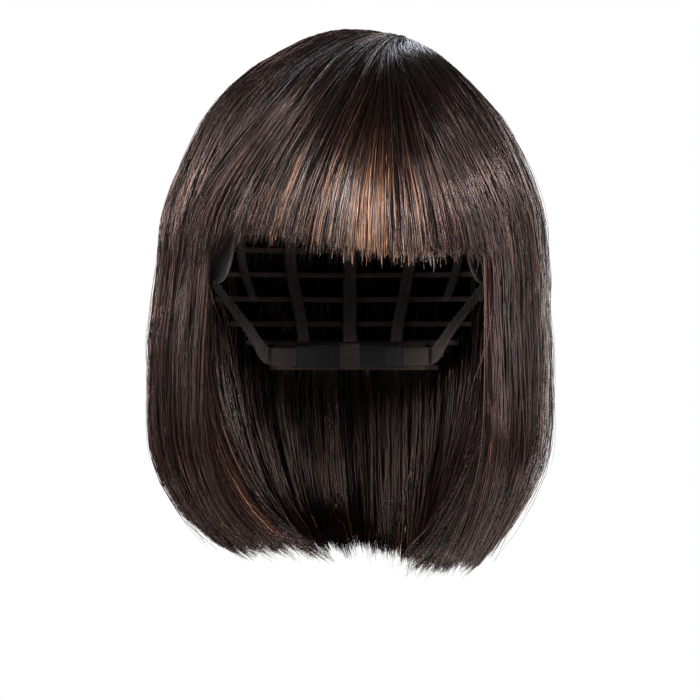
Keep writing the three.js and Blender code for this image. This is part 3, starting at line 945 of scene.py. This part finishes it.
def add_adjuster(side, turn):
    """A nape adjuster: the loop pad, the hook tab on it, and the elastic strap that pulls the tab."""
    both = lambda first, last: (turn * first, turn * last)
    pad = add_band("loop_pad_" + side, *nape_arc(LOOP_PAD_RADIUS, both(6, 38), 50), 12, 0.7, LOOPS)
    finish_piece(pad, "adjuster_pad_" + side)
    line = nape_arc(HOOK_TAB_RADIUS, both(24, 36), 24)
    tab = add_band("hook_tab_" + side, *line, 11, BAND_THICKNESS, HOOKS)
    finish_piece(tab, "adjuster_tab_" + side, side + "_adjuster")
    points, normals = nape_arc(HOOK_TAB_RADIUS, both(60, 36.8), 40)
    name = "adjuster_elastic_" + side
    strap = add_band(name, points, normals, 9.5, BAND_THICKNESS, ELASTIC, BAND_RIDGES)
    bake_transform(strap)
    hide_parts("adjuster_strap_" + side)


def add_pile(side, turn):
    rng = np.random.default_rng(70 + turn)
    count, steps = 700, 6
    a = np.radians(turn * rng.uniform(6.5, 37.5, count))[:, None]
    z = NAPE_BAND_Z + rng.uniform(-5.5, 5.5, count)[:, None]
    bend = np.linspace(0, np.pi, steps)[None]
    way = rng.uniform(0, 2 * np.pi, count)[:, None]
    size = rng.uniform(0.25, 0.5, count)[:, None]
    arc = a + size * np.cos(bend) * np.cos(way) / LOOP_PAD_RADIUS
    height = z + size * np.cos(bend) * np.sin(way)
    radius = LOOP_PAD_RADIUS - 0.32 * np.sin(bend)
    loops = np.stack([radius * np.sin(arc), NAPE_AXIS_Y + radius * np.cos(arc), height], -1)
    tone = np.full((count, steps), 0.5)
    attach(add_strands("pad_loops_" + side, loops, 0.05, PILE, tone, taper=1.0), "cap")


sew_front_band()
sew_nape_band()
sew_ribbons()
for side, turn in (("left", -1), ("right", 1)):
    sew_ear_band(side, turn)
    sew_ear_tab(side, turn)
    add_adjuster(side, turn)
    add_pile(side, turn)


NET_EDGE_Z = -38
SKIN_RADIUS = 13.4
NET_HOLE_RADIUS = 14.8


def on_dome(flat):
    """Points of the head's dome over points of the plan, and the dome's normals there."""
    up = np.sqrt(1 - ((flat / HEAD[:2]) ** 2).sum(-1))
    foot = np.concatenate([flat, (HEAD[2] * (up - 1))[..., None]], -1)
    normal = unit(np.concatenate([flat / HEAD[:2] ** 2, (up / HEAD[2])[..., None]], -1))
    return foot, normal


def ring_faces(columns, rows):
    """Faces of a sheet of closed rings of points: below, above, round its hole and round its hem."""
    i, j = np.meshgrid(np.arange(columns), np.arange(rows - 1), indexing="ij")
    here, ahead = i * rows + j, (i + 1) % columns * rows + j
    below = np.stack([here, ahead, ahead + 1, here + 1], -1).reshape(-1, 4)
    shift = columns * rows
    here = np.arange(columns) * rows
    ahead = np.roll(here, -1)
    hole = np.stack([here, here + shift, ahead + shift, ahead], -1)
    hem = np.stack([ahead, ahead + shift, here + shift, here], -1) + rows - 1
    return below, below[:, ::-1] + shift, hole, hem


def net_material():
    """An open stretch net: crossing threads over dark holes."""
    material, tree, shader = new_material("stretch_net")
    plan = split_xyz(tree, coordinates(tree))
    threads = []
    for operation in ("ADD", "SUBTRACT"):
        cross = math_node(tree, operation, plan["X"], plan["Y"])
        wave = math_node(tree, "SINE", math_node(tree, "MULTIPLY", cross, 2 * math.pi / 0.0034), 0.0)
        threads.append(math_node(tree, "ABSOLUTE", wave, 0.0))
    lattice = math_node(tree, "SUBTRACT", 1.0, math_node(tree, "MINIMUM", *threads))
    color = ramp_node(tree, lattice, [(0.55, (0.004, 0.003, 0.003)), (0.8, (0.085, 0.060, 0.052))])
    paint(tree, shader, color, 0.85)
    add_bump(tree, shader, lattice, 1.0, 0.4)
    return material


def add_net():
    columns, rows = 120, 26
    around = np.radians(np.linspace(0, 360, columns + 1)[:-1, None])
    way = unit(np.stack([np.cos(around), np.sin(around)], -1) * HEAD[:2] - WHORL)
    a = ((way / HEAD[:2]) ** 2).sum(-1)
    b = (way * WHORL / HEAD[:2] ** 2).sum(-1)
    c = ((WHORL / HEAD[:2]) ** 2).sum() - (1 - ((NET_EDGE_Z + HEAD[2]) / HEAD[2]) ** 2)
    edge = (-b + np.sqrt(b * b - a * c)) / a
    distance = mix(NET_HOLE_RADIUS, edge, np.linspace(0, 1, rows)[None])
    foot, normal = on_dome(WHORL + way * distance[..., None])
    co = np.concatenate([(foot + normal * lift).reshape(-1, 3) for lift in (0.1, 0.8)])
    net = add_mesh("stretch_net", co, np.concatenate(ring_faces(columns, rows)), net_material())
    finish_piece(net, "crown_net")
    foot, normal = (np.concatenate([v[:, -1], v[:1, -1]]) for v in (foot, normal))
    lines = [zigzag(foot + normal * 0.45, normal, -1.4, 0.8, 1.6, lift) for lift in (-0.4, 0.45)]
    add_stitches("net_edge_stitches", lines)


def skin_material():
    """Pale false skin with a dark knot where each hair is implanted."""
    material, tree, shader = new_material("false_skin")
    knots = tree.nodes.new("ShaderNodeTexVoronoi")
    knots.inputs["Scale"].default_value = 900
    tree.links.new(coordinates(tree), knots.inputs["Vector"])
    noise = noise_node(tree, coordinates(tree), 260)
    skin = ramp_node(tree, noise, [(0.3, (0.50, 0.34, 0.25)), (0.7, (0.66, 0.49, 0.38))])
    dots = ramp_node(tree, knots.outputs["Distance"], [(0.10, (0.10, 0.06, 0.05)), (0.24, (1, 1, 1))])
    color = tree.nodes.new("ShaderNodeMixRGB")
    color.blend_type = "MULTIPLY"
    color.inputs["Fac"].default_value = 1
    tree.links.new(skin, color.inputs["Color1"])
    tree.links.new(dots, color.inputs["Color2"])
    paint(tree, shader, color.outputs["Color"], 0.42)
    add_bump(tree, shader, knots.outputs["Distance"], 0.5, 0.3)
    return material


def add_skin():
    turn = np.linspace(0, 2 * np.pi, 73)[:-1]
    reach = np.concatenate([[0.05], np.linspace(1, SKIN_RADIUS, 12)])
    ring = np.stack([np.cos(turn), np.sin(turn)], -1)[:, None]
    foot, normal = on_dome(WHORL + ring * reach[None, :, None])
    co = np.concatenate([(foot + normal * lift).reshape(-1, 3) for lift in (0.1, 0.9)])
    below, above, _, hem = ring_faces(len(turn), len(reach))
    skin = add_mesh("skin_patch", co, np.concatenate([below, above, hem]), skin_material())
    finish_piece(skin, "skin_top")


add_net()
add_skin()


def track_span(place):
    """First and last angle of the sewn track at a place: all round where nothing is open in front."""
    if place in UPPER_ROWS:
        return FACE_RIGHT, FACE_RIGHT + 360
    if place < 1:
        return FACE_RIGHT, FACE_LEFT
    half = float(ear_band_half_span(place))
    return 90 - half, 90 + half


def sewn_track(name, place, span):
    angles = np.linspace(*span, 180)
    offset = inner_offset(angles, place) - 1.3
    points = hair_point(angles, place, offset)
    normals = unit(hair_point(angles, place, offset + 1) - points)
    track = add_band(name, points, normals, 2.6, 0.8, TRACK, ridges=0.3, columns=10)
    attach(track, "cap")


for number, place in enumerate((*UPPER_ROWS, *MIDDLE_ROWS, *LOW_ROWS, *NAPE_ROWS)):
    sewn_track("sewn_track_" + str(number + 1), place, track_span(place))
for number, place in enumerate(FRONT_ROWS):
    sewn_track("front_track_" + str(number + 1), place, (FACE_LEFT - 360, FACE_RIGHT))


# ---- studio
def area_light(name, elevation, azimuth, distance, size, power, color=(1, 1, 1)):
    """A softbox that faces the middle of the wig. Azimuth 0 is in front and + is to the right, in degrees."""
    data = bpy.data.lights.new(name, "AREA")
    data.shape = "RECTANGLE"
    data.size, data.size_y = size
    data.energy = power
    data.color = color
    light = bpy.data.objects.new(name, data)
    middle = np.array([0, 0, -0.1])
    e, a = math.radians(elevation), math.radians(azimuth)
    towards = np.array([math.cos(e) * math.sin(a), -math.cos(e) * math.cos(a), math.sin(e)])
    light.location = middle + towards * distance
    light.rotation_euler = (math.pi / 2 - e, 0, a)
    bpy.context.scene.collection.objects.link(light)


def world_light():
    """White to the camera. As light, gray below and round the wig, and dark overhead."""
    world = bpy.data.worlds.new("studio")
    bpy.context.scene.world = world
    world.use_nodes = True
    tree = world.node_tree
    background = tree.nodes["Background"]
    height = math_node(tree, "MULTIPLY_ADD", split_xyz(tree, coordinates(tree, "Generated"))["Z"], 0.5)
    height.node.inputs[2].default_value = 0.5
    grays = ((0.0, 0.30), (0.45, 0.24), (0.6, 0.16), (0.85, 0.08), (1.0, 0.02))
    sky = ramp_node(tree, height, [(position, (gray,) * 3) for position, gray in grays])
    path = tree.nodes.new("ShaderNodeLightPath")
    seen = tree.nodes.new("ShaderNodeMixRGB")
    tree.links.new(path.outputs["Is Camera Ray"], seen.inputs["Fac"])
    tree.links.new(sky, seen.inputs["Color1"])
    seen.inputs["Color2"].default_value = (1, 1, 1, 1)
    tree.links.new(seen.outputs["Color"], background.inputs["Color"])


FLOOR_Z = -360
FLOOR_RADIUS = 700
FLOOR_SIDES = 48
FLOOR_FADE = (0.25, 0.68)  # metres from the middle over which the floor fades away


def floor_material():
    material, tree, shader = new_material("studio_floor")
    length = tree.nodes.new("ShaderNodeVectorMath")
    length.operation = "LENGTH"
    tree.links.new(coordinates(tree), length.inputs[0])
    fade = tree.nodes.new("ShaderNodeMapRange")
    fade.interpolation_type = "SMOOTHSTEP"
    fade.inputs["From Min"].default_value, fade.inputs["From Max"].default_value = FLOOR_FADE
    fade.inputs["To Min"].default_value, fade.inputs["To Max"].default_value = 1, 0
    tree.links.new(length.outputs["Value"], fade.inputs["Value"])
    tree.links.new(fade.outputs["Result"], shader.inputs["Alpha"])
    noise = noise_node(tree, coordinates(tree, "Generated"), 3)
    color = ramp_node(tree, noise, [(0, (0.90,) * 3), (1, (0.93,) * 3)])
    paint(tree, shader, color, 0.85)
    return material


def studio_floor():
    turn = np.linspace(0, 2 * np.pi, FLOOR_SIDES, endpoint=False)
    height = np.full(FLOOR_SIDES, float(FLOOR_Z))
    rim = np.stack([FLOOR_RADIUS * np.cos(turn), FLOOR_RADIUS * np.sin(turn), height], -1)
    middle = rim * [0.01, 0.01, 1]
    i = np.arange(FLOOR_SIDES)
    after = (i + 1) % FLOOR_SIDES
    quads = np.stack([i, after, after + FLOOR_SIDES, i + FLOOR_SIDES], -1)
    add_mesh("floor", np.concatenate([rim, middle]), quads, floor_material())


world_light()
area_light("front", 26, 2, 1.9, (0.8, 0.6), 12)
area_light("front_left", 21, -38, 1.9, (0.6, 0.6), 26)
area_light("front_right", 17, 46, 1.9, (0.6, 0.6), 40)
area_light("side_left", 12, -88, 1.6, (0.6, 1.2), 46)
area_light("side_right", 12, 90, 1.6, (0.6, 1.2), 9)
area_light("back_right", 2, 130, 1.6, (0.6, 1.7), 18)
area_light("top_back", 41, -164, 1.8, (1.3, 0.9), 27, (0.8, 0.9, 1.0))
studio_floor()

bpy.context.scene.cycles.denoising_prefilter = "NONE"
view = bpy.context.scene.view_settings
view.view_transform = "Standard"
view.look = "None"
